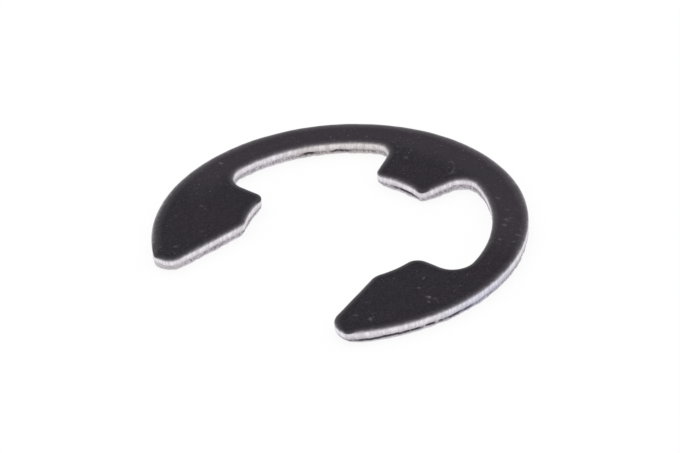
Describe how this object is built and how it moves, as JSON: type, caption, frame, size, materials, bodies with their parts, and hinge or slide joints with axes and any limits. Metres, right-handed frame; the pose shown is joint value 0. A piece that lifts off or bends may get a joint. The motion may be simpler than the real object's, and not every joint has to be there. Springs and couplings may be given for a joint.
{
  "type": "e clip",
  "caption": "Flat E-shaped spring-steel retaining ring whose inward prongs grip a shaft groove; blackened faces and bright sheared edges.",
  "frame": {"origin": "the shaft axis, at the clip's lower face", "axes": "+Z along the shaft axis, out of the upper face with the rolled edge; +Y from the mouth towards the back prong"},
  "size_m": [0.0234, 0.0207, 0.0009],
  "materials": {
    "spring_steel": "black oxide on both flat faces, semi-matte with fine pale scratches; sheared edges bright and uncoated"
  },
  "bodies": {
    "root": {"e_clip": "spring_steel"}
  },
  "joints": []
}
